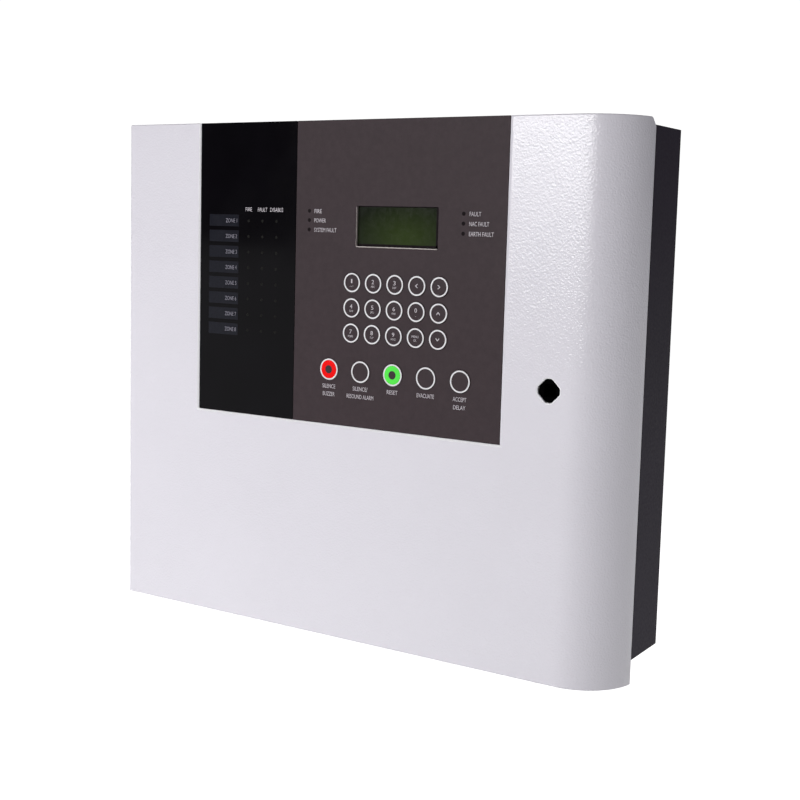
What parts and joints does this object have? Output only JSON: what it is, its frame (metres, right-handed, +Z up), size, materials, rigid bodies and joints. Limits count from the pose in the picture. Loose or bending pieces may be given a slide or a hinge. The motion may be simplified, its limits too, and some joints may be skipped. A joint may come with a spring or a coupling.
{
  "type": "fire alarm control panel",
  "caption": "Wall-mounted fire alarm control panel: black steel back box, pale hinged door with a rolled side, zone window, keypad with character display, and a quarter-turn lock.",
  "frame": {"origin": "centre of the back box's rear face, on the wall plane", "axes": "+X to the right of a person facing the panel, +Y into the wall, +Z up"},
  "size_m": [0.3897, 0.072, 0.34],
  "materials": {
    "door_paint": "light silver-grey fine-texture powder coat, satin",
    "box_paint": "black satin powder coat",
    "zinc_plate": "zinc-plated sheet steel, satin",
    "pin_steel": "plain steel pin, satin",
    "fascia_print": "brown-grey printed polycarbonate, fine matt texture",
    "smoked_window": "smoked black acrylic, glossy",
    "lcd_glass": "dark green LCD behind clear acrylic, glossy",
    "black_plastic": "moulded black plastic",
    "white_plastic": "moulded off-white plastic",
    "label_card": "printed card",
    "circuit_board": "green solder mask on glass-fibre board",
    "green_plastic": "moulded green terminal plastic",
    "battery_case": "dark grey ABS battery case",
    "rubber_black": "black rubber",
    "brass": "plain brass",
    "ribbon_grey": "grey PVC ribbon cable",
    "lead_red": "red PVC wire"
  },
  "bodies": {
    "cabinet": {"back_box": "box_paint", "cable_grommet_left": "rubber_black", "cable_grommet_right": "rubber_black", "box_hinge_leaf_upper": "zinc_plate", "hinge_pin_upper": "pin_steel", "box_hinge_leaf_lower": "zinc_plate", "hinge_pin_lower": "pin_steel", "chassis_plate": "zinc_plate", "main_board": "circuit_board", "zone_terminals": "green_plastic", "sounder_terminals": "green_plastic", "mains_terminals": "white_plastic", "power_supply": "zinc_plate", "fuse_holder": "black_plastic", "earth_stud": "brass", "battery_shelf": "zinc_plate", "battery_left": "battery_case", "battery_right": "battery_case", "battery_retainer": "zinc_plate", "battery_link": "lead_red", "ribbon_cable": "ribbon_grey", "ribbon_plug_main": "black_plastic"},
    "door": {"door_hinge_leaf_upper": "zinc_plate", "door_hinge_leaf_lower": "zinc_plate", "door_shell": "door_paint", "zone_window": "smoked_window", "keypad_fascia": "fascia_print", "display_frame": "black_plastic", "display_board": "circuit_board", "lcd_module": "black_plastic", "lcd_window": "lcd_glass", "led_block": "black_plastic", "zone_label_card": "label_card", "buzzer": "black_plastic", "ribbon_plug_display": "black_plastic", "lock_housing": "zinc_plate"},
    "lock": {"lock_barrel": "black_plastic", "lock_tongue": "zinc_plate"},
    "key_1": {"key_1": "fascia_print"},
    "key_2": {"key_2": "fascia_print"},
    "key_3": {"key_3": "fascia_print"},
    "key_left": {"key_left": "fascia_print"},
    "key_right": {"key_right": "fascia_print"},
    "key_4": {"key_4": "fascia_print"},
    "key_5": {"key_5": "fascia_print"},
    "key_6": {"key_6": "fascia_print"},
    "key_0": {"key_0": "fascia_print"},
    "key_up": {"key_up": "fascia_print"},
    "key_7": {"key_7": "fascia_print"},
    "key_8": {"key_8": "fascia_print"},
    "key_9": {"key_9": "fascia_print"},
    "key_menu": {"key_menu": "fascia_print"},
    "key_down": {"key_down": "fascia_print"},
    "button_silence_buzzer": {"button_silence_buzzer": "fascia_print"},
    "button_sounders": {"button_sounders": "fascia_print"},
    "button_reset": {"button_reset": "fascia_print"},
    "button_evacuate": {"button_evacuate": "fascia_print"},
    "button_delay": {"button_delay": "fascia_print"}
  },
  "joints": [
    {"name": "door_hinge", "type": "hinge", "parent": "cabinet", "child": "door", "pos_m": [-0.195, -0.04015, 0], "axis": [0, 0, -1], "range_deg": [0, 110], "deforming": ["ribbon_cable"]},
    {"name": "lock_turn", "type": "hinge", "parent": "door", "child": "lock", "pos_m": [0.1443, -0.055, 0.0032], "axis": [0, -1, 0], "range_deg": [0, 90]},
    {"name": "key_1_press", "type": "slide", "parent": "door", "child": "key_1", "axis": [0, 1, 0], "range_m": [0, 0.0008], "stiffness_N_per_m": 1200, "springref_m": -0.0003},
    {"name": "key_2_press", "type": "slide", "parent": "door", "child": "key_2", "axis": [0, 1, 0], "range_m": [0, 0.0008], "stiffness_N_per_m": 1200, "springref_m": -0.0003},
    {"name": "key_3_press", "type": "slide", "parent": "door", "child": "key_3", "axis": [0, 1, 0], "range_m": [0, 0.0008], "stiffness_N_per_m": 1200, "springref_m": -0.0003},
    {"name": "key_left_press", "type": "slide", "parent": "door", "child": "key_left", "axis": [0, 1, 0], "range_m": [0, 0.0008], "stiffness_N_per_m": 1200, "springref_m": -0.0003},
    {"name": "key_right_press", "type": "slide", "parent": "door", "child": "key_right", "axis": [0, 1, 0], "range_m": [0, 0.0008], "stiffness_N_per_m": 1200, "springref_m": -0.0003},
    {"name": "key_4_press", "type": "slide", "parent": "door", "child": "key_4", "axis": [0, 1, 0], "range_m": [0, 0.0008], "stiffness_N_per_m": 1200, "springref_m": -0.0003},
    {"name": "key_5_press", "type": "slide", "parent": "door", "child": "key_5", "axis": [0, 1, 0], "range_m": [0, 0.0008], "stiffness_N_per_m": 1200, "springref_m": -0.0003},
    {"name": "key_6_press", "type": "slide", "parent": "door", "child": "key_6", "axis": [0, 1, 0], "range_m": [0, 0.0008], "stiffness_N_per_m": 1200, "springref_m": -0.0003},
    {"name": "key_0_press", "type": "slide", "parent": "door", "child": "key_0", "axis": [0, 1, 0], "range_m": [0, 0.0008], "stiffness_N_per_m": 1200, "springref_m": -0.0003},
    {"name": "key_up_press", "type": "slide", "parent": "door", "child": "key_up", "axis": [0, 1, 0], "range_m": [0, 0.0008], "stiffness_N_per_m": 1200, "springref_m": -0.0003},
    {"name": "key_7_press", "type": "slide", "parent": "door", "child": "key_7", "axis": [0, 1, 0], "range_m": [0, 0.0008], "stiffness_N_per_m": 1200, "springref_m": -0.0003},
    {"name": "key_8_press", "type": "slide", "parent": "door", "child": "key_8", "axis": [0, 1, 0], "range_m": [0, 0.0008], "stiffness_N_per_m": 1200, "springref_m": -0.0003},
    {"name": "key_9_press", "type": "slide", "parent": "door", "child": "key_9", "axis": [0, 1, 0], "range_m": [0, 0.0008], "stiffness_N_per_m": 1200, "springref_m": -0.0003},
    {"name": "key_menu_press", "type": "slide", "parent": "door", "child": "key_menu", "axis": [0, 1, 0], "range_m": [0, 0.0008], "stiffness_N_per_m": 1200, "springref_m": -0.0003},
    {"name": "key_down_press", "type": "slide", "parent": "door", "child": "key_down", "axis": [0, 1, 0], "range_m": [0, 0.0008], "stiffness_N_per_m": 1200, "springref_m": -0.0003},
    {"name": "button_silence_buzzer_press", "type": "slide", "parent": "door", "child": "button_silence_buzzer", "axis": [0, 1, 0], "range_m": [0, 0.001], "stiffness_N_per_m": 1200, "springref_m": -0.0003},
    {"name": "button_sounders_press", "type": "slide", "parent": "door", "child": "button_sounders", "axis": [0, 1, 0], "range_m": [0, 0.001], "stiffness_N_per_m": 1200, "springref_m": -0.0003},
    {"name": "button_reset_press", "type": "slide", "parent": "door", "child": "button_reset", "axis": [0, 1, 0], "range_m": [0, 0.001], "stiffness_N_per_m": 1200, "springref_m": -0.0003},
    {"name": "button_evacuate_press", "type": "slide", "parent": "door", "child": "button_evacuate", "axis": [0, 1, 0], "range_m": [0, 0.001], "stiffness_N_per_m": 1200, "springref_m": -0.0003},
    {"name": "button_delay_press", "type": "slide", "parent": "door", "child": "button_delay", "axis": [0, 1, 0], "range_m": [0, 0.001], "stiffness_N_per_m": 1200, "springref_m": -0.0003}
  ]
}
